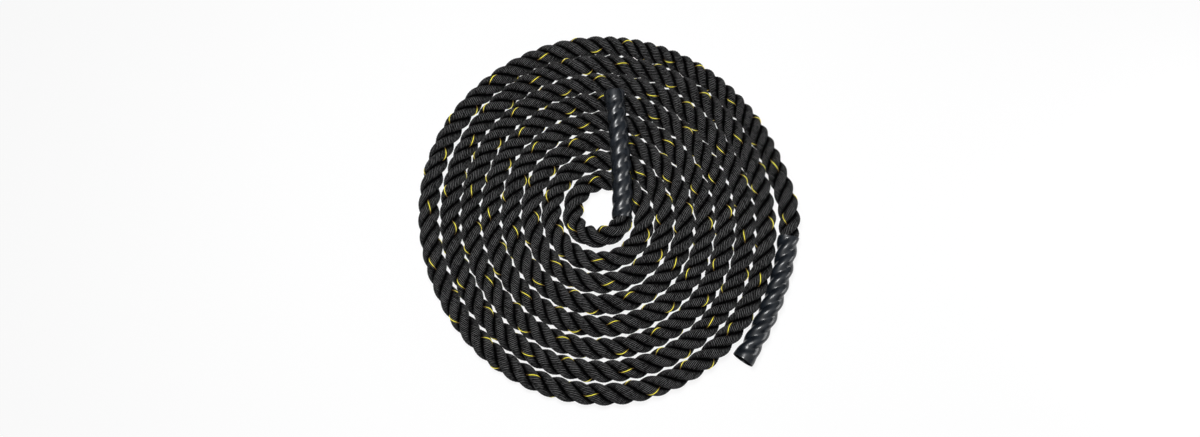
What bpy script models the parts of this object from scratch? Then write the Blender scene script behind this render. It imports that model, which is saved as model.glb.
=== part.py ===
"""A battle rope laid down as a flat spiral coil.

One three-strand rope, 38 mm over its crests and about 10 m long, lies on the floor in eight
clockwise turns seen from above. Each end wears a heat-shrunk sleeve that serves as its handle.
The outer handle lies on the floor along the last turn. The inner handle lies across the top of
the coil. Units are metres, +Z is up, and the floor is at z = 0.
"""
import math

import bmesh
import bpy
from mathutils import Matrix, Vector

# Rope: its diameter is over the crests of its strands, which lie between those of the next turn
ROPE_DIAMETER = 0.038
TURN_WIDTH = 0.0354
TURN_PLAY = 0.00073
LAY_LENGTH = 0.0923
CORD_SIDES = 6
FLAT_SHARE = 0.1

# Spiral coil
INNER_RADIUS = 0.0567
TURNS = 8
TURN_POINTS = 24
OVAL_SHARE = 0.027
OVAL_ANGLE = math.radians(77.2)
HOLE_DRAW = 0.0040
HOLE_DRAW_TURN_SHARE = 0.45
HOLE_DRAW_SPREAD_SHARE = 0.30
BULGE = 0.0040
BULGE_BACK_SHARE = 0.447
BULGE_SPREAD_SHARE = 0.13
COIL_START_TURN_SHARE = 0.53

# Free stretches between the coil and the handles; the route is from the inner mouth to the coil
OUTER_NECK_LENGTH = 0.156
END_STRAIGHT = 0.012
INNER_MOUTH_STRAIGHT = 0.005
NECK_STEP = 0.011
INNER_NECK_ROUTE = (
    (0.0285, -0.0315),
    (0.0135, -0.0420),
    (-0.0080, -0.0458),
    (-0.0270, -0.0405),
    (-0.0425, -0.0295),
    (-0.0510, -0.0140),
)

# Handles: each mouth's place, the way its axis points there, and its bend from mouth to end.
# The outer one lies beside the last turn, and the inner one is placed from the spiral's middle.
SLEEVE_LENGTH = 0.238
OUTER_PLAY = 0.00335
OUTER_MOUTH_ANGLE = math.radians(-7.3)
OUTER_HEADING = math.radians(-97.6)
OUTER_BEND = math.radians(-29.0)
INNER_MOUTH_X = 0.0342
INNER_MOUTH_Y = -0.0150
INNER_HEADING = math.radians(89.0)
INNER_BEND = math.radians(8.5)
HANDLE_STEP = 0.0072

# Strands inside the sleeves
STRANDS = 3
STRAND_RADIUS = 0.0081
STRAND_PLAY = 0.00277
STRAND_SIDES = 6

# Sleeves
BORE_PLAY = 0.0008
BORE_RELIEF = 0.0025
SLEEVE_WALL = 0.0010
SLEEVE_POINTS = 18

# Binding tape round the rope's cut ends, which it draws together
END_INSET = 0.0072
TAPE_LENGTH = 0.029
TAPE_THICKNESS = 0.0006
TAPE_PLAY = 0.0005
PINCH_RUN = 0.0072
PINCH_SHARE = 0.92

# Hinges, which lie in the free stretches, at distances back from the mouths' straight runs
OUTER_SWING_BACK = 0.108
OUTER_LIFT_BACK = 0.033
INNER_LIFT_BACK = 0.056
INNER_SWING_BACK = 0.024

# Gap between neighbouring solids
SEAT_GAP = 0.0003

# Edges sharper than this are not shaded smooth
SHARP_ANGLE = math.radians(35)

# Worked out from the sizes above; the pitch leaves the play where the oval and the facets narrow it
TURN_PITCH = (TURN_WIDTH + TURN_PLAY) / (1 - OVAL_SHARE) / math.cos(math.pi / TURN_POINTS)
CORNER_RADIUS = TURN_WIDTH / 2 / math.cos(math.pi / CORD_SIDES)
CORD_CENTRE_HEIGHT = CORNER_RADIUS - FLAT_SHARE * ROPE_DIAMETER
COIL_TOP = CORD_CENTRE_HEIGHT + CORNER_RADIUS
STRAND_HALF_WIDTH = STRAND_RADIUS * math.cos(math.pi / STRAND_SIDES)
STRAND_CENTRE_RADIUS = (STRAND_HALF_WIDTH + STRAND_PLAY / 2) / math.sin(math.pi / STRANDS)
BORE_CREST_RADIUS = STRAND_CENTRE_RADIUS + STRAND_RADIUS + BORE_PLAY
SLEEVE_CREST_RADIUS = BORE_CREST_RADIUS + SLEEVE_WALL
OUTER_HANDLE_HEIGHT = SLEEVE_CREST_RADIUS
INNER_HANDLE_HEIGHT = COIL_TOP + SEAT_GAP + SLEEVE_CREST_RADIUS
STRAND_LENGTH = SLEEVE_LENGTH - END_INSET
TAPE_START = STRAND_LENGTH - TAPE_LENGTH
PINCH_START = TAPE_START - PINCH_RUN


def clear_scene():
    for old in list(bpy.data.objects):
        bpy.data.objects.remove(old, do_unlink=True)


# Materials


def material(name, colour, roughness):
    made = bpy.data.materials.new(name)
    made.use_nodes = True
    shader = made.node_tree.nodes["Principled BSDF"]
    shader.inputs["Base Color"].default_value = (*colour, 1.0)
    shader.inputs["Roughness"].default_value = roughness
    shader.inputs["Metallic"].default_value = 0.0
    return made


def rope_material(name):
    return material(name, (0.030, 0.030, 0.032), 0.85)


def sleeve_material(name):
    return material(name, (0.022, 0.026, 0.032), 0.28)


def tape_material(name):
    return material(name, (0.060, 0.060, 0.064), 0.55)


# Places along the spiral


def swell(turn, middle, spread):
    """1 at the middle of a stretch of the spiral, fading to 0 at both of its ends."""
    away = (turn - middle) / spread
    if abs(away) >= 1:
        return 0.0
    return (1 + math.cos(math.pi * away)) / 2


def hole_draw(turn):
    """The innermost loop is pulled in a little towards the hole."""
    return HOLE_DRAW * swell(turn, HOLE_DRAW_TURN_SHARE, HOLE_DRAW_SPREAD_SHARE)


def bulge(turn):
    """The last turn lies a little off its neighbour, opposite the outer handle."""
    return BULGE * swell(turn, TURNS - BULGE_BACK_SHARE, BULGE_SPREAD_SHARE)


def spiral_point(turn):
    """The rope's centre after so many turns, clockwise from +X, where it lies on the floor."""
    angle = 2 * math.pi * turn
    oval = 1 + OVAL_SHARE * math.cos(2 * (angle - OVAL_ANGLE))
    radius = INNER_RADIUS + TURN_PITCH * (turn - 1 / 2) * oval - hole_draw(turn) + bulge(turn)
    return Vector((radius * math.cos(angle), -radius * math.sin(angle), CORD_CENTRE_HEIGHT))


def spiral_heading(turn):
    nudge = 1 / TURN_POINTS**2
    return (spiral_point(turn + nudge) - spiral_point(turn - nudge)).normalized()


def outer_mouth_turn():
    return TURNS - OUTER_MOUTH_ANGLE / (2 * math.pi)


def outer_mouth_radius():
    """The outer sleeve's mouth lies beside the last turn, with its play between them."""
    last_turn = spiral_point(outer_mouth_turn() - 1).xy.length
    return last_turn + TURN_WIDTH / 2 + OUTER_PLAY + SLEEVE_CREST_RADIUS


def coil_end_turn():
    return outer_mouth_turn() - OUTER_NECK_LENGTH / (2 * math.pi * outer_mouth_radius())


def coil_points():
    """Centre points of the coil, straight for a short run at both ends."""
    first, last = COIL_START_TURN_SHARE, coil_end_turn()
    start, end = spiral_point(first), spiral_point(last)
    after_start = start + END_STRAIGHT * spiral_heading(first)
    before_end = end - END_STRAIGHT * spiral_heading(last)
    points = [start, after_start]
    for k in range(math.ceil(first * TURN_POINTS), math.floor(last * TURN_POINTS) + 1):
        point = spiral_point(k / TURN_POINTS)
        if min((point - start).length, (point - end).length) > 2 * END_STRAIGHT:
            points.append(point)
    return points + [before_end, end]


def heading_vector(angle):
    return Vector((math.cos(angle), math.sin(angle), 0))


class HandleAxis:
    """The level arc that a handle's axis follows from its mouth to its free end."""

    def __init__(self, mouth, heading, bend):
        self.mouth, self.heading, self.bend = mouth, heading, bend

    def direction(self, along):
        return heading_vector(self.heading + self.bend * along / SLEEVE_LENGTH)

    def point(self, along):
        turned = self.bend * along / SLEEVE_LENGTH
        chord = 2 * SLEEVE_LENGTH / self.bend * math.sin(turned / 2)
        return self.mouth + chord * heading_vector(self.heading + turned / 2)


def outer_axis():
    mouth = outer_mouth_radius() * heading_vector(OUTER_MOUTH_ANGLE)
    mouth.z = OUTER_HANDLE_HEIGHT
    return HandleAxis(mouth, OUTER_HEADING, OUTER_BEND)


def inner_axis():
    mouth = Vector((INNER_MOUTH_X, INNER_MOUTH_Y, INNER_HANDLE_HEIGHT))
    return HandleAxis(mouth, INNER_HEADING, INNER_BEND)


# Smooth routes of the free stretches


def hermite(start, end, slope_start, slope_end, share):
    """A cubic from start to end with the given slopes at its two ends."""
    square, cube = share**2, share**3
    return (
        (2 * cube - 3 * square + 1) * start
        + (cube - 2 * square + share) * slope_start
        + (3 * square - 2 * cube) * end
        + (cube - square) * slope_end
    )


def smooth_curve(route, first_heading, last_heading, samples=TURN_POINTS):
    """A dense smooth curve through the route, leaving and arriving along the two headings."""
    slopes = [first_heading * (route[1] - route[0]).length]
    slopes += [(after - before) / 2 for before, after in zip(route, route[2:])]
    slopes.append(last_heading * (route[-1] - route[-2]).length)
    curve = []
    for i in range(len(route) - 1):
        for k in range(samples):
            share = k / samples
            curve.append(hermite(route[i], route[i + 1], slopes[i], slopes[i + 1], share))
    return curve + [route[-1]]


def lengths_along(points):
    lengths = [0.0]
    for before, after in zip(points, points[1:]):
        lengths.append(lengths[-1] + (after - before).length)
    return lengths


def point_at(curve, distance):
    lengths = lengths_along(curve)
    i = max(i for i in range(len(curve) - 1) if lengths[i] <= distance)
    share = (distance - lengths[i]) / (lengths[i + 1] - lengths[i])
    return curve[i].lerp(curve[i + 1], share)


def even_points(curve, step):
    """Points at even distances along a dense curve, both ends included."""
    total = lengths_along(curve)[-1]
    count = max(2, round(total / step))
    return [point_at(curve, total * k / count) for k in range(count)] + [curve[-1]]


def eased(share):
    return share * share * (3 - 2 * share)


def inner_neck_curve():
    """From the inner mouth round the hole's near side, down to the floor where the coil starts."""
    axis = inner_axis()
    first = axis.mouth - INNER_MOUTH_STRAIGHT * axis.direction(0)
    first.z = CORD_CENTRE_HEIGHT
    arriving = spiral_heading(COIL_START_TURN_SHARE)
    last = spiral_point(COIL_START_TURN_SHARE) - END_STRAIGHT * arriving
    route = [first] + [Vector((*place, CORD_CENTRE_HEIGHT)) for place in INNER_NECK_ROUTE] + [last]
    curve = smooth_curve(route, -axis.direction(0), arriving)
    lengths = lengths_along(curve)
    drop = INNER_HANDLE_HEIGHT - CORD_CENTRE_HEIGHT
    for point, length in zip(curve, lengths):
        point.z += drop * (1 - eased(length / lengths[-1]))
    return curve


def outer_neck_curve():
    """From the outer mouth back to the coil's end."""
    axis = outer_axis()
    first = axis.mouth - END_STRAIGHT * axis.direction(0)
    arriving = -spiral_heading(coil_end_turn())
    last = spiral_point(coil_end_turn()) - END_STRAIGHT * arriving
    return smooth_curve([first, last], -axis.direction(0), arriving)


def neck_points(axis, curve, coil_end):
    """Centre points of a free stretch, straight and square at both ends, a seat gap from each."""
    mouth_end = axis.mouth - SEAT_GAP * axis.direction(0)
    coil_side = coil_end + SEAT_GAP * (curve[-1] - coil_end).normalized()
    return [mouth_end] + even_points(curve, NECK_STEP) + [coil_side]


# Meshes


def cord_section():
    """A six-sided section with a corner up, and its lowest corner cut off flat."""
    corners = []
    for k in range(CORD_SIDES):
        angle = 2 * math.pi * k / CORD_SIDES - math.pi / 2
        corners.append((CORNER_RADIUS * math.cos(angle), CORNER_RADIUS * math.sin(angle)))
    half_flat = FLAT_SHARE * ROPE_DIAMETER * math.tan(math.pi / 2 - math.pi / CORD_SIDES)
    cut = [(-half_flat, -CORD_CENTRE_HEIGHT), (half_flat, -CORD_CENTRE_HEIGHT)]
    return list(reversed(cut + corners[1:]))


def poly_curve(name, points, cyclic):
    curve = bpy.data.curves.new(name, "CURVE")
    curve.dimensions = "3D"
    curve.twist_mode = "Z_UP"
    spline = curve.splines.new("POLY")
    spline.points.add(len(points) - 1)
    for knot, point in zip(spline.points, points):
        knot.co = (*point, 1)
    spline.use_cyclic_u = cyclic
    guide = bpy.data.objects.new(name, curve)
    bpy.context.collection.objects.link(guide)
    return guide


def add_object(name, mesh, finish):
    made = bpy.data.objects.new(name, mesh)
    made.data.materials.append(finish)
    mesh.shade_smooth()
    mesh.set_sharp_from_angle(angle=SHARP_ANGLE)
    bpy.context.collection.objects.link(made)
    return made


def cord(name, points, finish):
    """One unbroken tube along the points: a curve bevelled by the cord's section."""
    section = poly_curve(name + "_section", [(*corner, 0) for corner in cord_section()], True)
    guide = poly_curve(name + "_guide", points, False)
    guide.data.bevel_mode = "OBJECT"
    guide.data.bevel_object = section
    guide.data.use_fill_caps = True
    bpy.context.view_layer.update()
    mesh = bpy.data.meshes.new_from_object(guide.evaluated_get(bpy.context.evaluated_depsgraph_get()))
    mesh.name = name
    bpy.data.objects.remove(guide, do_unlink=True)
    bpy.data.objects.remove(section, do_unlink=True)
    shape = bmesh.new()
    shape.from_mesh(mesh)
    bmesh.ops.remove_doubles(shape, verts=shape.verts, dist=SEAT_GAP / 10)
    shape.to_mesh(mesh)
    shape.free()
    mesh.materials.clear()
    return add_object(name, mesh, finish)


def place_loop(shape, axis, along, loop, scale):
    """Vertices of one loop, turned by the lay and set square on the handle's axis."""
    centre, tangent = axis.point(along), axis.direction(along)
    up = Vector((0, 0, 1))
    side = up.cross(tangent)
    turned = 2 * math.pi * along / LAY_LENGTH
    placed = []
    for u, v in loop:
        across = scale * (u * math.cos(turned) - v * math.sin(turned))
        above = scale * (u * math.sin(turned) + v * math.cos(turned))
        placed.append(shape.verts.new(centre + across * side + above * up))
    return placed


def skin(shape, rings, outward):
    """Triangles between rings, split along the diagonal that follows the lay least."""
    for before, after in zip(rings, rings[1:]):
        for i in range(len(before)):
            j = (i + 1) % len(before)
            halves = (before[i], before[j], after[i]), (before[j], after[j], after[i])
            for half in halves:
                shape.faces.new(half if outward else tuple(reversed(half)))


def finish_mesh(name, shape, finish):
    mesh = bpy.data.meshes.new(name)
    shape.to_mesh(mesh)
    shape.free()
    return add_object(name, mesh, finish)


def stations(places):
    """Even steps through the given places along a handle, which all its pieces share."""
    found = [places[0]]
    for start, end in zip(places, places[1:]):
        count = max(1, round((end - start) / HANDLE_STEP))
        found += [start + (end - start) * (k + 1) / count for k in range(count)]
    return found


def laid_solid(name, axis, places, loop, pinch, finish):
    """A solid whose section turns with the rope's lay."""
    shape = bmesh.new()
    rings = [place_loop(shape, axis, along, loop, pinch(along)) for along in stations(places)]
    skin(shape, rings, True)
    shape.faces.new(tuple(reversed(rings[0])))
    shape.faces.new(tuple(rings[-1]))
    return finish_mesh(name, shape, finish)


def laid_tube(name, axis, places, inner_loop, outer_loop, pinch, finish):
    """A thin tube whose inner and outer sections turn with the rope's lay."""
    shape = bmesh.new()
    inner, outer = [], []
    for along in stations(places):
        inner.append(place_loop(shape, axis, along, inner_loop, pinch(along)))
        outer.append(place_loop(shape, axis, along, outer_loop, pinch(along)))
    skin(shape, outer, True)
    skin(shape, inner, False)
    skin(shape, [inner[0], outer[0]], True)
    skin(shape, [outer[-1], inner[-1]], True)
    return finish_mesh(name, shape, finish)


# Sections of the pieces on a handle


def lobed_loop(offset):
    """A closed loop with one lobe over each strand, offset outwards from the sleeve's bore."""
    loop = []
    for k in range(SLEEVE_POINTS):
        angle = 2 * math.pi * k / SLEEVE_POINTS
        radius = BORE_CREST_RADIUS + offset - BORE_RELIEF * (1 - math.cos(STRANDS * angle))
        loop.append((radius * math.cos(angle), radius * math.sin(angle)))
    return loop


def strand_loop(index):
    middle = 2 * math.pi * index / STRANDS
    loop = []
    for k in range(STRAND_SIDES):
        angle = middle + 2 * math.pi * k / STRAND_SIDES
        u = STRAND_CENTRE_RADIUS * math.cos(middle) + STRAND_RADIUS * math.cos(angle)
        v = STRAND_CENTRE_RADIUS * math.sin(middle) + STRAND_RADIUS * math.sin(angle)
        loop.append((u, v))
    return loop


def unpinched(along):
    return 1.0


def pinched(along):
    """The tape draws the strands' ends together, over a short run before it."""
    share = min(1, max(0, (along - PINCH_START) / PINCH_RUN))
    return 1 - share * (1 - PINCH_SHARE)


# The object's pieces


def rope_coil():
    return cord("rope_coil", coil_points(), rope_material("rope_coil"))


def neck(name, axis, curve, coil_end):
    return cord(name, neck_points(axis, curve, coil_end), rope_material(name))


def sleeve(name, axis):
    places = (0, PINCH_START, TAPE_START, STRAND_LENGTH, SLEEVE_LENGTH)
    loops = lobed_loop(0), lobed_loop(SLEEVE_WALL)
    return laid_tube(name, axis, places, *loops, unpinched, sleeve_material(name))


def strands(name, axis):
    places = (0, PINCH_START, TAPE_START, STRAND_LENGTH)
    made = []
    for i in range(STRANDS):
        node = f"{name}_{i + 1}"
        made.append(laid_solid(node, axis, places, strand_loop(i), pinched, rope_material(node)))
    return made


def end_tape(name, axis):
    places = (TAPE_START, STRAND_LENGTH)
    loops = lobed_loop(TAPE_PLAY), lobed_loop(TAPE_PLAY + TAPE_THICKNESS)
    return laid_tube(name, axis, places, *loops, pinched, tape_material(name))


def hinge(name, place, parent):
    """An empty on a joint's axis, which carries the pieces that turn with it."""
    made = bpy.data.objects.new(name, None)
    made.empty_display_size = ROPE_DIAMETER
    bpy.context.collection.objects.link(made)
    made.location = place
    bpy.context.view_layer.update()
    if parent:
        carry(parent, made)
    return made


def carry(parent, child):
    """Parents a piece and leaves it where it is."""
    child.parent = parent
    child.matrix_parent_inverse = parent.matrix_world.inverted()
    bpy.context.view_layer.update()


def outer_end():
    axis, curve = outer_axis(), outer_neck_curve()
    swing = hinge("outer_swing_axis", point_at(curve, OUTER_SWING_BACK), None)
    lift = hinge("outer_lift_axis", point_at(curve, OUTER_LIFT_BACK), swing)
    carry(swing, neck("outer_neck", axis, curve, coil_points()[-1]))
    pieces = [sleeve("outer_sleeve", axis), end_tape("outer_end_tape", axis)]
    for piece in pieces + strands("outer_strand", axis):
        carry(lift, piece)


def inner_end():
    axis, curve = inner_axis(), inner_neck_curve()
    lift = hinge("inner_lift_axis", point_at(curve, INNER_LIFT_BACK), None)
    swing = hinge("inner_swing_axis", point_at(curve, INNER_SWING_BACK), lift)
    carry(lift, neck("inner_neck", axis, curve, coil_points()[0]))
    pieces = [sleeve("inner_sleeve", axis), end_tape("inner_end_tape", axis)]
    for piece in pieces + strands("inner_strand", axis):
        carry(swing, piece)


def centre_over_origin():
    """Moves the whole object so that its outline's middle stands over the origin."""
    bpy.context.view_layer.update()
    places = []
    for piece in bpy.data.objects:
        if piece.type == "MESH":
            places += [piece.matrix_world @ vertex.co for vertex in piece.data.vertices]
    middle = Vector()
    for i in range(2):
        values = [place[i] for place in places]
        middle[i] = (min(values) + max(values)) / 2
    for piece in bpy.data.objects:
        if piece.parent is None:
            piece.matrix_world = Matrix.Translation(-middle) @ piece.matrix_world
    bpy.context.view_layer.update()


# What the source measures on its points


def least_turn_gap(points):
    """The least distance between the faces of two turns, measured on the centre points."""
    least = math.inf
    for i in range(len(points)):
        for j in range(i + TURN_POINTS // 2, len(points) - 1):
            run = points[j + 1] - points[j]
            share = min(1, max(0, (points[i] - points[j]).dot(run) / run.length_squared))
            least = min(least, (points[i] - points[j] - share * run).length - TURN_WIDTH)
    return least


def rope_length():
    """From one cut end to the other, through both sleeves."""
    coil = coil_points()
    outer = neck_points(outer_axis(), outer_neck_curve(), coil[-1])
    inner = neck_points(inner_axis(), inner_neck_curve(), coil[0])
    free = sum(lengths_along(points)[-1] for points in (coil, outer, inner))
    return free + 2 * STRAND_LENGTH


def report():
    print(f"least gap of the coil to itself {least_turn_gap(coil_points()) * 1000:.2f} mm")
    print(f"rope length {rope_length():.3f} m")
    for piece in bpy.data.objects:
        if piece.type == "EMPTY":
            print(piece.name, [round(value, 6) for value in piece.matrix_world.translation])


def main():
    clear_scene()
    rope_coil()
    outer_end()
    inner_end()
    centre_over_origin()
    report()


main()
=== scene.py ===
"""The looks of the battle rope: laid strands with their yarns, a tracer yarn and shrunk sleeves."""

import json
import math
from typing import NamedTuple

import bpy
import numpy as np
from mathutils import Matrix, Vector


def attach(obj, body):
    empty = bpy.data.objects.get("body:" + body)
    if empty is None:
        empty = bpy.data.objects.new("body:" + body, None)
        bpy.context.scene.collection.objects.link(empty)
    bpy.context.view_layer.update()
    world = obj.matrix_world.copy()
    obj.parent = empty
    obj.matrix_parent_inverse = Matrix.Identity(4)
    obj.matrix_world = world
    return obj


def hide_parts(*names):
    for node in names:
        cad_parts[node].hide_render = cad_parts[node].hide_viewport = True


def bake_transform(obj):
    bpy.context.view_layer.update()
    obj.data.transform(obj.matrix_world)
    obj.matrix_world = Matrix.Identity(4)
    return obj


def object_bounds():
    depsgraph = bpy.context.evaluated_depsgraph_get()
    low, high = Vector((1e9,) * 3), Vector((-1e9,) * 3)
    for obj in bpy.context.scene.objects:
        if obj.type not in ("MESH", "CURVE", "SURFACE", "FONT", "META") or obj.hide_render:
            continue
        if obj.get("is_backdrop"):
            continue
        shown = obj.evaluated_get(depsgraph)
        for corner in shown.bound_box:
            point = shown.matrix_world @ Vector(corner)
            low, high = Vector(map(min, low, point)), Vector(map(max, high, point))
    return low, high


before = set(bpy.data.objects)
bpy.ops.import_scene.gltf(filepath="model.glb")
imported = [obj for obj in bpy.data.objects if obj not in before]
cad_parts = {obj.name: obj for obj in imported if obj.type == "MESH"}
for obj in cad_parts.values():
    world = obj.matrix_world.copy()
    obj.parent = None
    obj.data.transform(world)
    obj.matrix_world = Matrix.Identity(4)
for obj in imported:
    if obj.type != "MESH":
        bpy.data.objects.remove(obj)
cad_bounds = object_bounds()

# Sizes shared with the solid model, in metres and turns; places are taken from the spiral's middle
SPIRAL_MIDDLE = np.array((-0.0109, -0.0096, 0.0))
TURN_WIDTH = 0.0354
TURN_PLAY = 0.00073
TURN_COUNT = 8
TURN_POINTS = 24
INNER_RADIUS = 0.0567
INNER_RADIUS_TURN = 0.5
OVAL_SHARE = 0.027
OVAL_ANGLE = math.radians(77.2)
HOLE_DRAW = 0.0040
HOLE_DRAW_TURN = 0.45
HOLE_DRAW_SPREAD = 0.30
BULGE = 0.0040
BULGE_TURN = 7.553
BULGE_SPREAD = 0.13
COIL_START_TURN = 0.53
OUTER_NECK_LENGTH = 0.156
END_STRAIGHT = 0.012
INNER_MOUTH_STRAIGHT = 0.005
INNER_NECK_ROUTE = (
    (0.0285, -0.0315),
    (0.0135, -0.0420),
    (-0.0080, -0.0458),
    (-0.0270, -0.0405),
    (-0.0425, -0.0295),
    (-0.0510, -0.0140),
)
SLEEVE_LENGTH = 0.238
STRAND_LENGTH = 0.2308
SLEEVE_CREST_RADIUS = 0.0196
INNER_MOUTH = np.array((0.0342, -0.0150))
INNER_HEADING = math.radians(89.0)
INNER_BEND = math.radians(8.5)
TURN_PITCH = (TURN_WIDTH + TURN_PLAY) / (1 - OVAL_SHARE) / math.cos(math.pi / TURN_POINTS)

# The outer handle, whose arc lies a little nearer the last turn than its solid does
OUTER_PLAY = 0.0030
OUTER_MOUTH_ANGLE = math.radians(-7.0)
OUTER_HEADING = math.radians(-100.0)
OUTER_BEND = math.radians(-26.0)

# The rope as it looks: the heights of its centre, and its strands and yarns
FLOOR_HEIGHT = 0.0190
OUTER_HEIGHT = 0.0197
INNER_HEIGHT = 0.0579
STRANDS = 3
STRAND_CENTRE = 0.0084
STRAND_RADIUS = 0.01055
FLAT_OVERLAP = 0.00015
SECTION_POWER = 14
SECTION_POINTS = 1441
HIDDEN_SHARE = 0.72
HIDDEN_START_DEGREES = 90
HIDDEN_RUN_DEGREES = 25
YARNS = 17
YARN_RELIEF = 0.00032
YARN_OFFSET_SHARE = 0.37
TRACER_RADIUS = 0.00076

# How fine the lines and meshes are
HANDLE_POINTS = 480
ROUTE_STEPS = 200
COIL_POINTS = 18000
RING_STEP = 0.00475
TRACER_STEP = 0.0032
TRACER_SIDES = 8
STRAND_UV_ROWS = 13
TRACER_UV_ROWS = 40
FRAME_REACH = 0.004

UP = np.array((0.0, 0.0, 1.0))


def eased(share):
    """A smooth step from 0 to 1."""
    share = np.clip(share, 0.0, 1.0)
    return share * share * (3 - 2 * share)


def unit(vectors):
    """The same directions at length 1."""
    return vectors / np.maximum(np.linalg.norm(vectors, axis=-1, keepdims=True), 1e-12)


# The rope's centre line, from the inner cut end to the outer one


def swell(turn, middle, spread):
    """1 at the middle of a stretch of the spiral, fading to 0 at both of its ends."""
    away = np.clip(np.abs((turn - middle) / spread), 0, 1)
    return (1 + np.cos(math.pi * away)) / 2


def spiral(turn):
    """The coil's centre line seen from above. The innermost loop is drawn in a little, and the last
    turn lies a little off its neighbour on one side, as in the photograph."""
    turn = np.asarray(turn, float)
    angle = 2 * math.pi * turn
    oval = 1 + OVAL_SHARE * np.cos(2 * (angle - OVAL_ANGLE))
    hole_draw = HOLE_DRAW * swell(turn, HOLE_DRAW_TURN, HOLE_DRAW_SPREAD)
    bulge = BULGE * swell(turn, BULGE_TURN, BULGE_SPREAD)
    radius = INNER_RADIUS + TURN_PITCH * (turn - INNER_RADIUS_TURN) * oval - hole_draw + bulge
    return np.stack([radius * np.cos(angle), -radius * np.sin(angle)], -1)


def spiral_heading(turn):
    nudge = 1 / TURN_POINTS**2
    return unit(spiral(turn + nudge) - spiral(turn - nudge))


def heading(angle):
    return np.array((math.cos(angle), math.sin(angle)))


def lengths_along(points):
    return np.concatenate([[0.0], np.cumsum(np.linalg.norm(np.diff(points, axis=0), axis=1))])


def with_height(flat, height):
    height = np.broadcast_to(height, (len(flat),))
    return np.concatenate([flat, height[:, None]], 1)


def hermite(start, end, slope_start, slope_end, share):
    square, cube = share**2, share**3
    return (
        (2 * cube - 3 * square + 1)[:, None] * start
        + (cube - 2 * square + share)[:, None] * slope_start
        + (3 * square - 2 * cube)[:, None] * end
        + (cube - square)[:, None] * slope_end
    )


def smooth_route(route, first, last):
    """Dense points of a smooth curve through the route's points, with the way it starts and ends."""
    route = [np.asarray(place, float) for place in route]
    slopes = [first * np.linalg.norm(route[1] - route[0])]
    slopes += [(after - before) / 2 for before, after in zip(route, route[2:])]
    slopes.append(last * np.linalg.norm(route[-1] - route[-2]))
    share = np.arange(ROUTE_STEPS) / ROUTE_STEPS
    runs = [
        hermite(route[i], route[i + 1], slopes[i], slopes[i + 1], share)
        for i in range(len(route) - 1)
    ]
    return np.concatenate(runs + [route[-1][None]])


OUTER_MOUTH_TURN = TURN_COUNT - OUTER_MOUTH_ANGLE / (2 * math.pi)
LAST_TURN_RADIUS = float(np.linalg.norm(spiral(OUTER_MOUTH_TURN - 1)))
OUTER_MOUTH_RADIUS = LAST_TURN_RADIUS + TURN_WIDTH / 2 + OUTER_PLAY + SLEEVE_CREST_RADIUS
OUTER_MOUTH = OUTER_MOUTH_RADIUS * heading(OUTER_MOUTH_ANGLE)
COIL_END_TURN = OUTER_MOUTH_TURN - OUTER_NECK_LENGTH / (2 * math.pi * OUTER_MOUTH_RADIUS)


class Handle(NamedTuple):
    """A handle's level arc from its mouth. Its way is 1 where the distance along the rope grows
    towards the handle's free end, and -1 where it shrinks."""

    mouth: np.ndarray
    heading: float
    bend: float
    height: float
    way: int


HANDLES = {
    "outer": Handle(OUTER_MOUTH, OUTER_HEADING, OUTER_BEND, OUTER_HEIGHT, 1),
    "inner": Handle(INNER_MOUTH, INNER_HEADING, INNER_BEND, INNER_HEIGHT, -1),
}


def arc_points(handle, along):
    """Points of a handle's arc, so far from its mouth."""
    turned = handle.bend * along / SLEEVE_LENGTH
    chord = 2 * SLEEVE_LENGTH / handle.bend * np.sin(turned / 2)
    angle = handle.heading + turned / 2
    way = np.stack([np.cos(angle), np.sin(angle)], -1)
    return with_height(handle.mouth + chord[:, None] * way, handle.height)


def rise(flat):
    """How far along a route each of its points is, from 0 to 1, eased at both ends."""
    share = lengths_along(flat)
    return eased(share / share[-1])


def inner_neck_points():
    leaving = heading(INNER_HEADING)
    arriving = spiral_heading(COIL_START_TURN)
    first = INNER_MOUTH - INNER_MOUTH_STRAIGHT * leaving
    last = spiral(COIL_START_TURN) - END_STRAIGHT * arriving
    flat = smooth_route([first, *INNER_NECK_ROUTE, last], -leaving, arriving)
    return with_height(flat, FLOOR_HEIGHT + (INNER_HEIGHT - FLOOR_HEIGHT) * (1 - rise(flat)))


def outer_neck_points():
    leaving = spiral_heading(COIL_END_TURN)
    arriving = heading(OUTER_HEADING)
    first = spiral(COIL_END_TURN) + END_STRAIGHT * leaving
    last = OUTER_MOUTH - END_STRAIGHT * arriving
    flat = smooth_route([first, last], leaving, arriving)
    return with_height(flat, FLOOR_HEIGHT + (OUTER_HEIGHT - FLOOR_HEIGHT) * rise(flat))


def centre_line():
    """Dense points of the whole rope and how far along it each is, the turns and the distances of
    the coil's points, and how far along it the mouths of the inner and the outer sleeve are."""
    turns = np.linspace(COIL_START_TURN, COIL_END_TURN, COIL_POINTS)
    runs = [
        arc_points(HANDLES["inner"], np.linspace(STRAND_LENGTH, 0, HANDLE_POINTS)),
        inner_neck_points(),
        with_height(spiral(turns), FLOOR_HEIGHT),
        outer_neck_points(),
        arc_points(HANDLES["outer"], np.linspace(0, STRAND_LENGTH, HANDLE_POINTS)),
    ]
    points = np.concatenate(runs) + SPIRAL_MIDDLE
    marks = lengths_along(points)
    past = np.cumsum([len(run) for run in runs])
    return points, marks, turns, marks[past[1] : past[2]], marks[past[0] - 1], marks[past[3]]


LINE, MARKS, COIL_TURNS, COIL_MARKS, INNER_MOUTH_AT, OUTER_MOUTH_AT = centre_line()
END_AT = MARKS[-1]


def centre(along):
    return np.stack([np.interp(along, MARKS, LINE[:, i]) for i in range(3)], -1)


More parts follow.
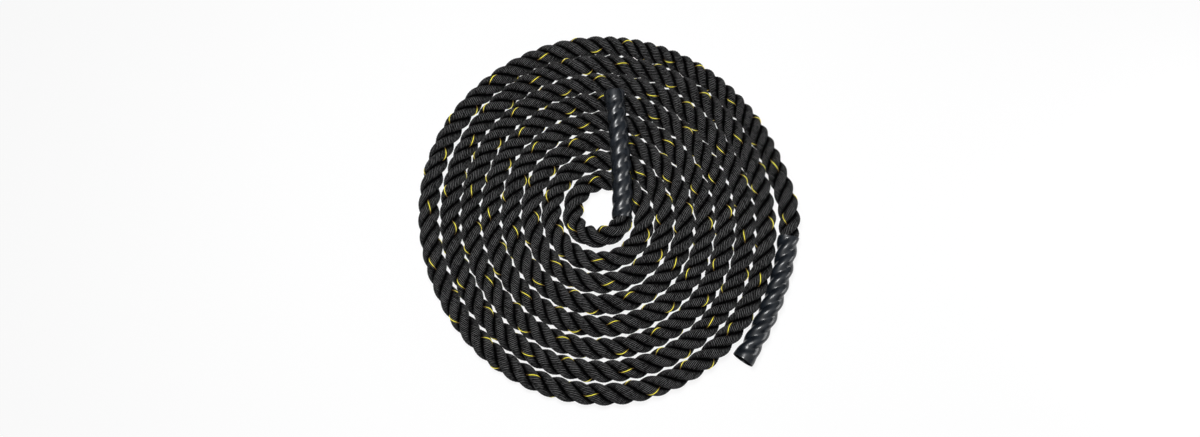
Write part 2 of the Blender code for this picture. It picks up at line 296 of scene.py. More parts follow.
def frames(along):
    """The rope's centre at each place, the side that faces out of the coil, and the top side."""
    before, after = centre(along - FRAME_REACH), centre(along + FRAME_REACH)
    middle = (before + 2 * centre(along) + after) / 4
    way = unit(after - before)
    out = unit(np.cross(UP, way))
    return middle, out, np.cross(way, out)


# How the rope is laid along the coil. Each row is a place in turns, how often the tracer's strand
# has gone round the rope by there (a whole number faces outwards), and how often the tracer has
# crossed its strand's crown. These rows aren't a design: a separate program fitted them to the
# photograph, and they were rounded. The real lay varies along the rope, and no short formula of
# the distance that was tried follows it as closely.

LAY_LANDMARKS = (
    (0.70, 1.18, 2.86),
    (1.60, 6.45, 16.84),
    (2.67, 15.00, 40.49),
    (3.33, 21.74, 58.84),
    (4.00, 29.96, 80.50),
    (4.33, 34.70, 92.57),
    (4.67, 39.87, 105.66),
    (5.25, 49.51, 129.93),
    (6.00, 62.83, 163.80),
    (6.20, 66.68, 173.63),
    (6.80, 78.92, 204.63),
    (7.00, 82.99, 215.51),
    (7.50, 93.15, 243.62),
    (7.75, 98.55, 258.37),
    (7.98, 104.07, 272.43),
)

# Past the landmarks: the length of one lap of the strand, and from one crossing to the next
OUTER_LAY = (0.0930, 0.0343)
INNER_LAY = (0.0942, 0.0346)
INNER_SLEEVE_LAY = (0.0770, 0.0288)


def laid(along, column):
    """Laps of the strand (0) or crossings of the tracer (1) at each place along the rope."""
    table = np.array(LAY_LANDMARKS)
    places = np.interp(table[:, 0], COIL_TURNS, COIL_MARKS)
    count = np.interp(along, places, table[:, 1 + column])
    count = count + np.maximum(along - places[-1], 0) / OUTER_LAY[column]
    before = np.clip(along, INNER_MOUTH_AT, places[0]) - places[0]
    inside = np.minimum(along - INNER_MOUTH_AT, 0)
    return count + before / INNER_LAY[column] + inside / INNER_SLEEVE_LAY[column]


def lay_count(along):
    return laid(along, 0)


def yarn_count(along):
    return laid(along, 1)


# Materials


class Nodes:
    """A short way to add shader nodes and join them."""

    def __init__(self, tree):
        self.tree = tree

    def add(self, kind, inputs=None, **settings):
        node = self.tree.nodes.new(kind)
        for key, value in settings.items():
            setattr(node, key, value)
        for key, value in (inputs or {}).items():
            if isinstance(value, bpy.types.NodeSocket):
                self.tree.links.new(value, node.inputs[key])
            else:
                node.inputs[key].default_value = value
        return node

    def math(self, operation, *values):
        node = self.add("ShaderNodeMath", dict(enumerate(values)), operation=operation)
        return node.outputs[0]

    def ramp(self, value, low, high, to_low=0.0, to_high=1.0):
        node = self.add(
            "ShaderNodeMapRange",
            {0: value, 1: low, 2: high, 3: to_low, 4: to_high},
            interpolation_type="SMOOTHSTEP",
        )
        return node.outputs[0]

    def mix(self, share, first, second):
        node = self.add("ShaderNodeMix", data_type="RGBA")
        for socket, value in ((0, share), (6, first), (7, second)):
            if isinstance(value, bpy.types.NodeSocket):
                self.tree.links.new(value, node.inputs[socket])
            elif isinstance(value, tuple):
                node.inputs[socket].default_value = (*value, 1.0)
            else:
                node.inputs[socket].default_value = value
        return node.outputs[2]

    def point(self, x, y, z):
        return self.add("ShaderNodeCombineXYZ", {0: x, 1: y, 2: z}).outputs[0]

    def noise(self, place, scale, detail, **more):
        inputs = {"Vector": place, "Scale": scale, "Detail": detail, **more}
        return self.add("ShaderNodeTexNoise", inputs).outputs[0]

    def bump(self, shader, height, strength, distance):
        node = self.add("ShaderNodeBump", {"Height": height, "Strength": strength, "Distance": distance})
        self.tree.links.new(node.outputs[0], shader.inputs["Normal"])


def new_material(name):
    made = bpy.data.materials.new(name)
    made.use_nodes = True
    nodes = Nodes(made.node_tree)
    return made, nodes, made.node_tree.nodes["Principled BSDF"]


def lay_coordinates(nodes):
    """A corner's place along the rope, its share of the way round its piece, and its distance from
    the middle of the rope."""
    place = nodes.add("ShaderNodeAttribute", attribute_name="lay").outputs["Vector"]
    split = nodes.add("ShaderNodeSeparateXYZ", {0: place})
    return split.outputs[0], split.outputs[1], split.outputs[2]


# Yarns: fibres run askew along each one, their bright specks partly painted sheen, and patches make some
# stretches paler; painted shade darkens the gaps between yarns and the grooves between strands
# The first colour is the near-black that the painted shade goes down to
YARN_SHADE_DARK = (0.0003, 0.0003, 0.0004)
YARN_PALE = (0.130, 0.130, 0.132)
YARN_ROUGHNESS = 0.72
YARN_SPECULAR = 0.01
# How much of the colour the painted shade leaves in the gaps between yarns
YARN_GAP_SHADE = 0.01
RIDGE_RAMP = (0.15, 1.0)
FIBRES_ALONG = 130.0
FIBRES_ACROSS = 4.5
FIBRES_ASKEW = 260.0
FIBRES_APART = 7.3
# Fibre streaks: partly the fibres' own tone, and their bright specks partly painted sheen
FIBRE_TONE_AND_SHEEN_RAMP = (0.34, 0.68, 0.15, 1.85)
PATCHES_ALONG = 28.0
PATCHES_APART = 3.7
PATCH_RAMP = (0.32, 0.68, 0.65, 1.35)
# Painted shade in the grooves between strands, by the distance from the rope's middle
GROOVE_SHADE_RAMP = (0.0125, 0.0190, 0.01, 1.0)
FIBRE_BUMP = 0.4
YARN_BUMP = (0.9, 0.0007)


def rope_material():
    made, nodes, shader = new_material("rope yarns")
    along, around, height = lay_coordinates(nodes)
    yarn = nodes.math("MULTIPLY", around, float(YARNS))
    wave = nodes.math("COSINE", nodes.math("MULTIPLY", yarn, 2 * math.pi))
    ridge = nodes.ramp(wave, *RIDGE_RAMP)
    number = nodes.math("FLOOR", nodes.math("ADD", yarn, 0.5))
    askew = nodes.math("MULTIPLY", along, FIBRES_ASKEW)
    fibre_place = nodes.point(
        nodes.math("MULTIPLY", along, FIBRES_ALONG),
        nodes.math("ADD", nodes.math("MULTIPLY", yarn, FIBRES_ACROSS), askew),
        nodes.math("MULTIPLY", number, FIBRES_APART),
    )
    fibres = nodes.noise(fibre_place, scale=1.0, detail=3.0, Roughness=0.65)
    patch_place = nodes.point(
        nodes.math("MULTIPLY", along, PATCHES_ALONG),
        nodes.math("MULTIPLY", number, PATCHES_APART),
        0.0,
    )
    patches = nodes.ramp(nodes.noise(patch_place, scale=1.0, detail=1.0), *PATCH_RAMP)
    # Fibre streaks, whose bright specks are partly painted sheen, and paler patches of the yarns' own
    # tone
    bright = nodes.math("MULTIPLY", nodes.ramp(fibres, *FIBRE_TONE_AND_SHEEN_RAMP), patches)
    # Painted shade: the colour darkens towards the rope's middle, in the grooves between strands
    groove = nodes.ramp(height, *GROOVE_SHADE_RAMP)
    # Painted shade in the gaps between neighbouring yarns, with their crowns left light
    yarns = nodes.math("MULTIPLY_ADD", ridge, 1 - YARN_GAP_SHADE, YARN_GAP_SHADE)
    share = nodes.math("MULTIPLY", nodes.math("MULTIPLY", yarns, bright), groove)
    colour = nodes.mix(share, YARN_SHADE_DARK, YARN_PALE)
    nodes.tree.links.new(colour, shader.inputs["Base Color"])
    shader.inputs["Roughness"].default_value = YARN_ROUGHNESS
    shader.inputs["Specular IOR Level"].default_value = YARN_SPECULAR
    relief = nodes.math("ADD", nodes.math("MULTIPLY", fibres, FIBRE_BUMP), ridge)
    nodes.bump(shader, relief, *YARN_BUMP)
    return made


# Tracer: bright on the crown of its strand, and darkened by painted shade where it dives into a groove
TRACER_SHADE = (0.10, 0.05, 0.003)
TRACER_DULL = (0.95, 0.78, 0.03)
TRACER_BRIGHT = (1.00, 0.97, 0.14)
TRACER_ROUGHNESS = 0.65
TRACER_FIBRES_ALONG = 220.0
TRACER_FIBRES_ROUND = 9.0
TRACER_FIBRES_ASKEW = 400.0
TRACER_FIBRE_RAMP = (0.3, 0.7)
TRACER_SHADE_RAMP = (0.0135, 0.0180)
TRACER_BUMP = (0.5, 0.0003)


def tracer_material():
    made, nodes, shader = new_material("tracer yarn")
    along, around, height = lay_coordinates(nodes)
    askew = nodes.math("MULTIPLY", along, TRACER_FIBRES_ASKEW)
    place = nodes.point(
        nodes.math("MULTIPLY", along, TRACER_FIBRES_ALONG),
        nodes.math("ADD", nodes.math("MULTIPLY", around, TRACER_FIBRES_ROUND), askew),
        0.0,
    )
    fibres = nodes.noise(place, scale=1.0, detail=3.0)
    bright = nodes.mix(nodes.ramp(fibres, *TRACER_FIBRE_RAMP), TRACER_DULL, TRACER_BRIGHT)
    # Painted shade where the tracer dives into a groove, by its distance from the rope's middle
    colour = nodes.mix(nodes.ramp(height, *TRACER_SHADE_RAMP), TRACER_SHADE, bright)
    nodes.tree.links.new(colour, shader.inputs["Base Color"])
    shader.inputs["Roughness"].default_value = TRACER_ROUGHNESS
    nodes.bump(shader, fibres, *TRACER_BUMP)
    return made


# Film: blue-black and glossy, with a faint mottle and fine wrinkles
FILM_DARK = (0.0042, 0.0056, 0.0080)
FILM_PALE = (0.0090, 0.0118, 0.0160)
FILM_SPECULAR = 0.42
MOTTLE_SCALE = 90.0
WRINKLE_SCALE = 260.0
MOTTLE_RAMP = (0.3, 0.7)
FILM_ROUGHNESS_RAMP = (0.3, 0.75, 0.25, 0.33)
FILM_BUMP = (0.05, 0.0004)


def sleeve_material():
    made, nodes, shader = new_material("shrunk sleeve")
    place = nodes.add("ShaderNodeTexCoord").outputs["Object"]
    mottle = nodes.noise(place, MOTTLE_SCALE, detail=3.0)
    wrinkle = nodes.noise(place, WRINKLE_SCALE, detail=2.0)
    colour = nodes.mix(nodes.ramp(mottle, *MOTTLE_RAMP), FILM_DARK, FILM_PALE)
    nodes.tree.links.new(colour, shader.inputs["Base Color"])
    nodes.tree.links.new(nodes.ramp(mottle, *FILM_ROUGHNESS_RAMP), shader.inputs["Roughness"])
    shader.inputs["Specular IOR Level"].default_value = FILM_SPECULAR
    nodes.bump(shader, wrinkle, *FILM_BUMP)
    return made


TAPE_DARK = (0.020, 0.020, 0.022)
TAPE_PALE = (0.050, 0.050, 0.053)
TAPE_ROUGHNESS = 0.55
TAPE_WEAVE_SCALE = 700.0


def tape_material():
    made, nodes, shader = new_material("binding tape")
    place = nodes.add("ShaderNodeTexCoord").outputs["Object"]
    weave = nodes.noise(place, TAPE_WEAVE_SCALE, detail=2.0)
    nodes.tree.links.new(nodes.mix(weave, TAPE_DARK, TAPE_PALE), shader.inputs["Base Color"])
    shader.inputs["Roughness"].default_value = TAPE_ROUGHNESS
    return made


ROPE = rope_material()
TRACER = tracer_material()
SLEEVE = sleeve_material()
TAPE = tape_material()


# Meshes from rings of points

# The uv map has a margin round it and round each row, and a small disc for the caps in a corner
UV_MARGIN = 0.01
UV_ROW_MARGIN = 0.04
CAP_UV_MIDDLE = 0.985
CAP_UV_RADIUS = 0.012

# The height at which a cap is coloured, as deep as a groove, so that it gets the grooves' painted shade
CAP_HEIGHT = 0.012


def grid_normals(grid):
    """Smooth normals of a grid that is closed round its second axis."""
    around = np.roll(grid, -1, axis=1) - np.roll(grid, 1, axis=1)
    onward = np.gradient(grid, axis=0)
    return unit(np.cross(around, onward))


def ring_faces(rings, sides):
    i = np.arange(rings - 1)[:, None] * sides
    j = np.arange(sides)[None, :]
    after = (j + 1) % sides
    quads = np.stack([i + j, i + after, i + sides + after, i + sides + j], -1)
    return quads.reshape(-1, 4)


def skin_corners(along, height, rows):
    """What each corner of the skin's faces holds: its place along and round the piece with its
    height, and its uv, where a long piece is folded into rows."""
    rings, sides = height.shape
    ring = np.repeat(np.arange(rings - 1), sides)
    side = np.tile(np.arange(sides), rings - 1)
    u = np.stack([ring, ring, ring + 1, ring + 1], -1).reshape(-1)
    v = np.stack([side, side + 1, side + 1, side], -1).reshape(-1)
    lay = np.stack([along[u], v / sides, height[u, v % sides]], -1)
    row = (ring * rows // (rings - 1)).repeat(4)
    first = np.ceil(row * (rings - 1) / rows)
    per_row = (rings - 1) / rows + 1
    across = (u - first) / per_row * (1 - 2 * UV_MARGIN) + UV_MARGIN
    upward = (row + UV_ROW_MARGIN + (1 - 2 * UV_ROW_MARGIN) * v / sides) / rows
    return lay, np.stack([across, upward], -1)


def cap_fan(loop, end, first, along):
    """A flat fan over one end ring (0 or -1): its points, which are numbered from first, their
    normals, its triangles, and what their corners hold."""
    sides = len(loop)
    middle = loop.mean(0)
    facing = unit(np.cross(loop[1] - middle, loop[0] - middle) * (1 if end == 0 else -1))
    j = np.arange(sides)
    near, far = first + j, first + (j + 1) % sides
    hub = np.full(sides, first + sides)
    triangles = np.stack([far, near, hub] if end == 0 else [near, far, hub], -1)
    around = np.stack([j, j + 1, j + 0.5], -1).reshape(-1) / sides
    lay = np.stack([np.full(3 * sides, along), around, np.full(3 * sides, CAP_HEIGHT)], -1)
    angle = 2 * math.pi * around
    uv = CAP_UV_RADIUS * np.stack([np.cos(angle), np.sin(angle)], -1)
    uv[2::3] = 0
    points = np.concatenate([loop, middle[None]])
    return points, np.tile(facing, (sides + 1, 1)), triangles, lay, uv + CAP_UV_MIDDLE


def make_mesh(name, grid, normals, along, height, finish, rows=1, caps=(True, True)):
    """One skin over the rings, with flat caps at the wanted ends. Each ring has its place along the
    rope, and each of its points its distance from the middle of the rope."""
    rings, sides = grid.shape[:2]
    quads = ring_faces(rings, sides)
    skin_lay, skin_uv = skin_corners(along, height, rows)
    coords, facings = [grid.reshape(-1, 3)], [normals.reshape(-1, 3)]
    loops, sizes = [quads.reshape(-1)], [np.full(len(quads), 4)]
    lay, uv = [skin_lay], [skin_uv]
    count = rings * sides
    for end, wanted in zip((0, -1), caps):
        if not wanted:
            continue
        points, facing, triangles, cap_lay, cap_uv = cap_fan(grid[end], end, count, along[end])
        coords.append(points)
        facings.append(facing)
        loops.append(triangles.reshape(-1))
        sizes.append(np.full(sides, 3))
        lay.append(cap_lay)
        uv.append(cap_uv)
        count += len(points)
    coords, facings, loops = np.concatenate(coords), np.concatenate(facings), np.concatenate(loops)
    sizes = np.concatenate(sizes)
    mesh = bpy.data.meshes.new(name)
    mesh.vertices.add(len(coords))
    mesh.vertices.foreach_set("co", coords.astype(np.float32).reshape(-1))
    mesh.loops.add(len(loops))
    mesh.loops.foreach_set("vertex_index", loops.astype(np.int32))
    mesh.polygons.add(len(sizes))
    mesh.polygons.foreach_set("loop_start", (np.cumsum(sizes) - sizes).astype(np.int32))
    mesh.update(calc_edges=True)
    mesh.validate()
    layer = mesh.uv_layers.new(name="OFBake")
    layer.uv.foreach_set("vector", np.concatenate(uv).astype(np.float32).reshape(-1))
    attribute = mesh.attributes.new("lay", "FLOAT_VECTOR", "CORNER")
    attribute.data.foreach_set("vector", np.concatenate(lay).astype(np.float32).reshape(-1))
    mesh.shade_smooth()
    mesh.normals_split_custom_set_from_vertices(facings.astype(np.float32))
    made = bpy.data.objects.new(name, mesh)
    made.data.materials.append(finish)
    bpy.context.scene.collection.objects.link(made)
    return made


# Strands

# The film draws the rope in from a little outside the mouth, and the tape draws its cut end in more
FILM_SQUEEZE_SHARE = 0.105
FILM_SQUEEZE_START = 0.014
FILM_SQUEEZE_RUN = 0.018
TAPE_SQUEEZE_SHARE = 0.045
TAPE_SQUEEZE_START = 0.036
TAPE_SQUEEZE_RUN = 0.008

# Where the rope is drawn in, the tracer is pressed into its strand
PRESS_DEPTH = 0.0016
PRESS_START_SHARE = 0.998
PRESS_RUN_SHARE = 0.09


def neck_squeeze(along):
    squeeze = np.ones_like(along)
    for mouth, way in ((INNER_MOUTH_AT, -1), (OUTER_MOUTH_AT, 1)):
        inside = (along - mouth) * way
        film = eased((inside + FILM_SQUEEZE_START) / FILM_SQUEEZE_RUN)
        tape = eased((inside - (STRAND_LENGTH - TAPE_SQUEEZE_START)) / TAPE_SQUEEZE_RUN)
        squeeze = squeeze - FILM_SQUEEZE_SHARE * film
        squeeze = squeeze - TAPE_SQUEEZE_SHARE * tape
    return squeeze


def strand_section():
    """A strand's skin: its share of the way round and its radius at each angle from the crown.
    It is flattened against its two neighbours, and the flats meet at the rope's middle."""
    phase = np.linspace(-math.pi, math.pi, SECTION_POINTS)
    flat = STRAND_CENTRE * math.sin(math.pi / STRANDS) + FLAT_OVERLAP
    limit = np.full_like(phase, STRAND_RADIUS**-SECTION_POWER)
    neighbour = math.radians(90 + 180 / STRANDS)
    for facing in (neighbour, -neighbour):
        slope = np.cos(phase - facing)
        limit += (np.maximum(slope, 0) / flat) ** SECTION_POWER
    radius = limit ** (-1 / SECTION_POWER)
    edge = np.stack([radius * np.cos(phase), radius * np.sin(phase)], -1)
    # Yarns are packed closer on the hidden sides, so those count for less of the way round
    hidden = eased((np.degrees(np.abs(phase)) - HIDDEN_START_DEGREES) / HIDDEN_RUN_DEGREES)
    weight = 1 - (1 - HIDDEN_SHARE) * (hidden[1:] + hidden[:-1]) / 2
    steps = np.linalg.norm(np.diff(edge, axis=0), axis=1) * weight
    share = np.concatenate([[0.0], np.cumsum(steps)])
    return phase, radius, share / share[-1] - 0.5


SECTION_PHASE, SECTION_RADIUS, SECTION_SHARE = strand_section()


def skin_place(share):
    """Angle and radius of a place on the skin, from its share of the way round."""
    share = (share + 0.5) % 1 - 0.5
    phase = np.interp(share, SECTION_SHARE, SECTION_PHASE)
    return phase, np.interp(share, SECTION_SHARE, SECTION_RADIUS)


# Three corners for each yarn, its crown and its two edges, and how far they stand out of the skin
CORNER_SHARES = np.array((0.0, 0.37, 0.63))
CORNER_RELIEF_SHARES = np.array((1.0, -0.45, -0.45))


def strand_grid(along, strand):
    """Rings of one strand whose corners follow its yarns, and their distance from the middle."""
    middle, out, top = frames(along)
    turned = 2 * math.pi * (lay_count(along) + strand / STRANDS)
    squeeze = neck_squeeze(along)[:, None, None]
    slots = (np.arange(YARNS)[:, None] + CORNER_SHARES[None, :]).reshape(-1) / YARNS
    relief = YARN_RELIEF * np.tile(CORNER_RELIEF_SHARES, YARNS)
    offset = strand * YARN_OFFSET_SHARE
    phase, radius = skin_place(slots[None, :] - yarn_count(along)[:, None] + offset)
    radius = radius + relief[None, :]
    across = STRAND_CENTRE * np.cos(turned)[:, None] + radius * np.cos(turned[:, None] + phase)
    above = STRAND_CENTRE * np.sin(turned)[:, None] + radius * np.sin(turned[:, None] + phase)
    grid = (
        middle[:, None, :]
        + squeeze * across[..., None] * out[:, None, :]
        + squeeze * above[..., None] * top[:, None, :]
    )
    return grid, np.hypot(across, above)


def tracer_grid(along):
    """A thin tube that takes the place of one yarn on the first strand's skin."""
    middle, out, top = frames(along)
    turned = 2 * math.pi * lay_count(along)
    squeeze = neck_squeeze(along)[:, None]
    phase, radius = skin_place(-yarn_count(along))
    radius = radius - PRESS_DEPTH * eased((PRESS_START_SHARE - squeeze[:, 0]) / PRESS_RUN_SHARE)
    across = STRAND_CENTRE * np.cos(turned) + radius * np.cos(turned + phase)
    above = STRAND_CENTRE * np.sin(turned) + radius * np.sin(turned + phase)
    line = middle + squeeze * (across[:, None] * out + above[:, None] * top)
    run = unit(np.gradient(line, axis=0))
    outward = np.cos(turned + phase)[:, None] * out + np.sin(turned + phase)[:, None] * top
    outward = unit(outward - (outward * run).sum(1)[:, None] * run)
    side = np.cross(run, outward)
    angles = (2 * math.pi * np.arange(TRACER_SIDES) / TRACER_SIDES)[None, :, None]
    ring = np.cos(angles) * outward[:, None, :] + np.sin(angles) * side[:, None, :]
    height = np.hypot(across, above)[:, None].repeat(TRACER_SIDES, 1)
    return line[:, None, :] + TRACER_RADIUS * ring, height


# Each neck is two pieces, cut so far from its mouth: the near one lies by the handle's own
# joint, and the far one by the neck's. Each piece is given by where it starts and ends.
INNER_SWING_CUT = 0.0485
INNER_LIFT_CUT = 0.140
OUTER_LIFT_CUT = 0.063
OUTER_SWING_CUT = 0.147


def inner_at(away):
    return INNER_MOUTH_AT + away


def outer_at(away):
    return OUTER_MOUTH_AT - away


# The pieces of each strand from the inner end on: where they begin and end, and what they follow
REGIONS = (
    ("inner_end", 0.0, INNER_MOUTH_AT, "inner_handle", None),
    ("inner_mouth_neck", INNER_MOUTH_AT, inner_at(INNER_SWING_CUT), "inner_neck", "inner_handle"),
    ("inner_coil_neck", inner_at(INNER_SWING_CUT), inner_at(INNER_LIFT_CUT), "coil", "inner_neck"),
    ("coil", inner_at(INNER_LIFT_CUT), outer_at(OUTER_SWING_CUT), "coil", None),
    ("outer_coil_neck", outer_at(OUTER_SWING_CUT), outer_at(OUTER_LIFT_CUT), "coil", "outer_neck"),
    ("outer_mouth_neck", outer_at(OUTER_LIFT_CUT), OUTER_MOUTH_AT, "outer_neck", "outer_handle"),
    ("outer_end", OUTER_MOUTH_AT, END_AT, "outer_handle", None),
)


def region_rings(step):
    """Places of the rings of every region; neighbours share the ring between them."""
    return {
        name: np.linspace(start, end, round((end - start) / step) + 1)
        for name, start, end, _, _ in REGIONS
    }


def follow(made, region):
    name, _, _, body, other = region
    if other is None:
        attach(made, body)
        return
    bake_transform(made)


def laid_pieces(label, builder, step, finish, coil_rows):
    """Every region's piece of one strand or of the tracer, with shared rings and normals."""
    places = region_rings(step)
    joined = np.concatenate([places[region[0]][:-1] for region in REGIONS] + [[END_AT]])
    grid, height = builder(joined)
    normals = grid_normals(grid)
    made, at = {}, 0
    for region in REGIONS:
        name = region[0]
        count = len(places[name])
        part = slice(at, at + count)
        piece = make_mesh(
            f"{label}_{name}",
            grid[part],
            normals[part],
            joined[part],
            height[part],
            finish,
            rows=coil_rows if name == "coil" else 1,
            caps=(name == "inner_end", name == "outer_end"),
        )
        follow(piece, region)
        made[name] = piece
        at += count - 1
    return made


def strand_pieces(k):
    def builder(along):
        return strand_grid(along, k)

    return laid_pieces(f"strand_{k + 1}", builder, RING_STEP, ROPE, STRAND_UV_ROWS)


strands = [strand_pieces(k) for k in range(STRANDS)]
tracer = laid_pieces("tracer_yarn", tracer_grid, TRACER_STEP, TRACER, TRACER_UV_ROWS)

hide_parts("rope_coil")
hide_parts("outer_neck")
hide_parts("inner_neck")
for k, strand in enumerate(strands):
    for end in ("outer", "inner"):
        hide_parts(f"{end}_strand_{k + 1}")

# The free rope between the mouths: every piece of it but the first strand's coil is gathered in a list
between = [name for name in strands[0] if not name.endswith("_end")]
with_pieces = [pieces[name] for pieces in (*strands, tracer) for name in between]
with_pieces.remove(strands[0]["coil"])


# Sleeves and tapes

SLEEVE_SIDES = 96
SLEEVE_STEP = 0.0017
LIP_SHARES = (0.25, 0.5, 0.75)
FILM_THICKNESS = 0.0010
FILM_CREST = 0.0183
FILM_HOLLOW = 0.0146
LOBE_POWER = 0.75

# Faint unevenness of the film: height, waves round the sleeve, and waves along it per metre
FILM_WAVES = ((0.00006, 3, 190), (0.00004, 5, -310))

# Both ends of the film stand away from the rope
MOUTH_FLARE_END = 0.035
MOUTH_FLARE_RUN = 0.030
TIP_FLARE_START = 0.030
TIP_FLARE_RUN = 0.026

TAPE_LENGTH = 0.029
TAPE_INSET = 0.0004
TAPE_RINGS = 20
TAPE_HOLLOW = 0.0142
TAPE_LOBE = 0.0026
TAPE_THICKNESS = 0.0006


class Film(NamedTuple):
    """How a sleeve's film lies: its hug is 1 where it follows the strands and 0 where it is round."""

    mouth_hug: float
    more_hug: float
    more_hug_start: float
    more_hug_run: float
    round_end: float
    round_run: float
    mouth_flare: float
    tip_flare: float


FILMS = {
    "outer": Film(
        mouth_hug=0.75,
        more_hug=0.25,
        more_hug_start=0.0,
        more_hug_run=0.020,
        round_end=0.006,
        round_run=0.020,
        mouth_flare=0.055,
        tip_flare=0.065,
    ),
    "inner": Film(
        mouth_hug=0.62,
        more_hug=0.30,
        more_hug_start=0.10,
        more_hug_run=0.120,
        round_end=0.010,
        round_run=0.018,
        mouth_flare=0.030,
        tip_flare=0.050,
    ),
}


def lobes(angle):
    """A film drawn over the strands: 1 on their crowns, 0 where it bridges a groove."""
    return ((1 + np.cos(STRANDS * angle)) / 2) ** LOBE_POWER


def film_hug(film, along):
    hug = film.mouth_hug + film.more_hug * eased((along - film.more_hug_start) / film.more_hug_run)
    return hug * eased((SLEEVE_LENGTH - film.round_end - along) / film.round_run)


def film_flare(film, along):
    mouth = eased((MOUTH_FLARE_END - along) / MOUTH_FLARE_RUN)
    tip = eased((along - (SLEEVE_LENGTH - TIP_FLARE_START)) / TIP_FLARE_RUN)
    return 1 + film.mouth_flare * mouth + film.tip_flare * tip


def handle_frames(handle, along):
    """Frames of a handle, from its mouth to its free end, which lies past the rope's cut end."""
    angle = handle.heading + handle.bend * along / SLEEVE_LENGTH
    way = np.stack([np.cos(angle), np.sin(angle), 0 * angle], -1)
    return arc_points(handle, along) + SPIRAL_MIDDLE, way, handle.way * np.cross(UP, way)


def handle_phase(handle, along):
    """How far the tracer's strand has turned round the rope at each place in a handle."""
    mouth_at = OUTER_MOUTH_AT if handle.way > 0 else INNER_MOUTH_AT
    return 2 * math.pi * lay_count(mouth_at + handle.way * along)


def handle_tube(handle, along, radius_of, wall):
    """Rings of an open tube: its outer skin, a round lip, its inner skin back, and a round lip."""
    order = np.concatenate([along, along[::-1]])
    middle, way, out = handle_frames(handle, order)
    angles = 2 * math.pi * np.arange(SLEEVE_SIDES) / SLEEVE_SIDES
    outer_skin = radius_of(order[:, None], angles[None, :] - handle_phase(handle, order)[:, None])
    count = len(along)
    radius = outer_skin - wall * np.repeat((0, 1), count)[:, None]
    rings = []
    for skin, sign in ((range(count), 1), (range(count, 2 * count), -1)):
        rings += [(middle[k], out[k], radius[k]) for k in skin]
        last = skin[-1]
        for share in LIP_SHARES:
            lift = math.sin(math.pi * share) * (wall / 2) * sign
            sink = (1 - math.cos(math.pi * share)) * (wall / 2) * sign
            rings.append((middle[last] + lift * way[last], out[last], radius[last] - sink))
    across, above = np.cos(angles)[:, None], np.sin(angles)[:, None]
    grid = np.stack([
        spot + reach[:, None] * (across * side + above * UP) for spot, side, reach in rings
    ])
    return grid if handle.way > 0 else grid[:, ::-1]


def closed_tube(name, grid, finish):
    """The rings are joined last to first, so that the tube's wall is closed."""
    onward = np.roll(grid, -1, axis=0) - np.roll(grid, 1, axis=0)
    around = np.roll(grid, -1, axis=1) - np.roll(grid, 1, axis=1)
    normals = unit(np.cross(around, onward))
    grid, normals = np.concatenate([grid, grid[:1]]), np.concatenate([normals, normals[:1]])
    rings, sides = grid.shape[:2]
    no_lay = np.zeros(rings), np.zeros((rings, sides))
    return make_mesh(name, grid, normals, *no_lay, finish, caps=(False, False))


def sleeve(end):
    inset = FILM_THICKNESS / 2
    along = np.linspace(inset, SLEEVE_LENGTH - inset, round(SLEEVE_LENGTH / SLEEVE_STEP))

    def radius_of(place, angle):
        hug = film_hug(FILMS[end], place)
        radius = FILM_CREST - (FILM_CREST - FILM_HOLLOW) * (1 - lobes(angle)) * hug
        wave = sum(high * np.sin(around * angle + onward * place) for high, around, onward in FILM_WAVES)
        return radius * film_flare(FILMS[end], place) + wave

    grid = handle_tube(HANDLES[end], along, radius_of, FILM_THICKNESS)
    made = closed_tube(f"{end}_sleeve_film", grid, SLEEVE)
    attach(made, f"{end}_handle")
    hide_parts(f"{end}_sleeve")


def tape(end):
    along = np.linspace(STRAND_LENGTH - TAPE_LENGTH, STRAND_LENGTH - TAPE_INSET, TAPE_RINGS)

    def radius_of(place, angle):
        return TAPE_HOLLOW + TAPE_LOBE * lobes(angle)

    grid = handle_tube(HANDLES[end], along, radius_of, TAPE_THICKNESS)
    made = closed_tube(f"{end}_tape_wrap", grid, TAPE)
    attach(made, f"{end}_handle")
    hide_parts(f"{end}_end_tape")


for end in HANDLES:
    sleeve(end)
for end in HANDLES:
    tape(end)


# Floor, light and camera

BACKDROP_LEVEL = 0.88
FLOOR_COLOUR = (0.88, 0.88, 0.89, 1)
FLOOR_REACH = 4
FLOOR_DROP = 0.0002
WHITE = (1, 1, 1, 1)
EVEN_LIGHT = 0.09
GLOSS_RAMP = (0.45, 1.0, 0.0, 0.95)

# Round lamps: name, width, power in watts and place
LAMPS = (
    ("overhead", 0.46, 25, (-0.18, 0.05, 1.5)),
    ("right side", 0.7, 8, (1.45, -0.15, 0.45)),
)
LAMP_AIM = (-0.0177, 0.0, 0.0)

SENSOR_WIDTH = 36.0
FOCAL_LENGTH = 22.38
CAMERA_CLIP = 0.01
CAMERA_PLACE = (-0.0159, -0.3422, 1.3289)
CAMERA_AIM = (-0.0159, -0.0156, 0.019)


def floor_material():
    made = bpy.data.materials.new("floor")
    made.use_nodes = True
    nodes = Nodes(made.node_tree)
    made.node_tree.nodes.clear()
    output = nodes.add("ShaderNodeOutputMaterial")
    diffuse = nodes.add("ShaderNodeBsdfDiffuse", {"Color": FLOOR_COLOUR})
    glow = nodes.add("ShaderNodeEmission", {"Color": WHITE, "Strength": 1.0})
    path = nodes.add("ShaderNodeLightPath")
    glossy = nodes.math("MAXIMUM", path.outputs["Is Glossy Ray"], path.outputs["Is Transmission Ray"])
    seen = nodes.math("MAXIMUM", path.outputs["Is Camera Ray"], glossy)
    share = nodes.math("MULTIPLY", seen, BACKDROP_LEVEL)
    mixed = nodes.add("ShaderNodeMixShader", {0: share, 1: diffuse.outputs[0], 2: glow.outputs[0]})
    nodes.tree.links.new(mixed.outputs[0], output.inputs[0])
    return made


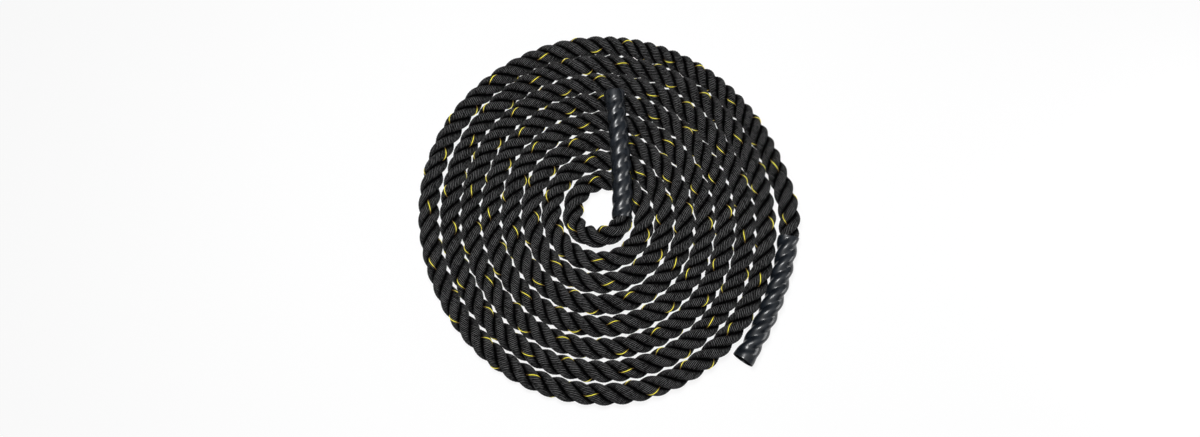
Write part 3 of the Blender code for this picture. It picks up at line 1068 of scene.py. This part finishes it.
def stage_floor():
    mesh = bpy.data.meshes.new("floor")
    corners = [(x * FLOOR_REACH, y * FLOOR_REACH, 0) for x, y in ((-1, -1), (1, -1), (1, 1), (-1, 1))]
    mesh.from_pydata(corners, [], [(0, 1, 2, 3)])
    floor = bpy.data.objects.new("floor", mesh)
    floor.data.materials.append(floor_material())
    bpy.context.scene.collection.objects.link(floor)
    floor.location.z = -FLOOR_DROP
    floor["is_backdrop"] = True


def place_and_aim(made, place, target):
    """Puts a lamp or the camera in its place, facing the target."""
    bpy.context.scene.collection.objects.link(made)
    made.location = place
    aim = Vector(target) - made.location
    made.rotation_euler = aim.to_track_quat("-Z", "Y").to_euler()


def lights():
    world = bpy.data.worlds.new("even light")
    bpy.context.scene.world = world
    world.use_nodes = True
    nodes = Nodes(world.node_tree)
    background = world.node_tree.nodes["Background"]
    background.inputs["Color"].default_value = WHITE
    path = nodes.add("ShaderNodeLightPath")
    direction = nodes.add("ShaderNodeTexCoord").outputs["Generated"]
    upward = nodes.add("ShaderNodeSeparateXYZ", {0: direction}).outputs[2]
    overhead = nodes.math("MULTIPLY", path.outputs["Is Glossy Ray"], nodes.ramp(upward, *GLOSS_RAMP))
    backdrop = nodes.math("MULTIPLY", path.outputs["Is Camera Ray"], BACKDROP_LEVEL)
    strength = nodes.math("ADD", nodes.math("MAXIMUM", overhead, backdrop), EVEN_LIGHT)
    nodes.tree.links.new(strength, background.inputs["Strength"])
    for name, size, power, place in LAMPS:
        lamp = bpy.data.lights.new(name, "AREA")
        lamp.shape = "DISK"
        lamp.size = size
        lamp.energy = power
        place_and_aim(bpy.data.objects.new(name, lamp), place, LAMP_AIM)


def camera():
    lens = bpy.data.cameras.new("camera")
    lens.sensor_width = SENSOR_WIDTH
    lens.lens = FOCAL_LENGTH
    lens.clip_start = CAMERA_CLIP
    made = bpy.data.objects.new("camera", lens)
    place_and_aim(made, CAMERA_PLACE, CAMERA_AIM)
    bpy.context.scene.camera = made


stage_floor()
lights()
camera()
bpy.context.scene.view_settings.view_transform = "Standard"

seen_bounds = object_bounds()


def plain(bounds):
    return json.loads(json.dumps(bounds, default=list))


{"cad": plain(cad_bounds), "visual": plain(seen_bounds)}
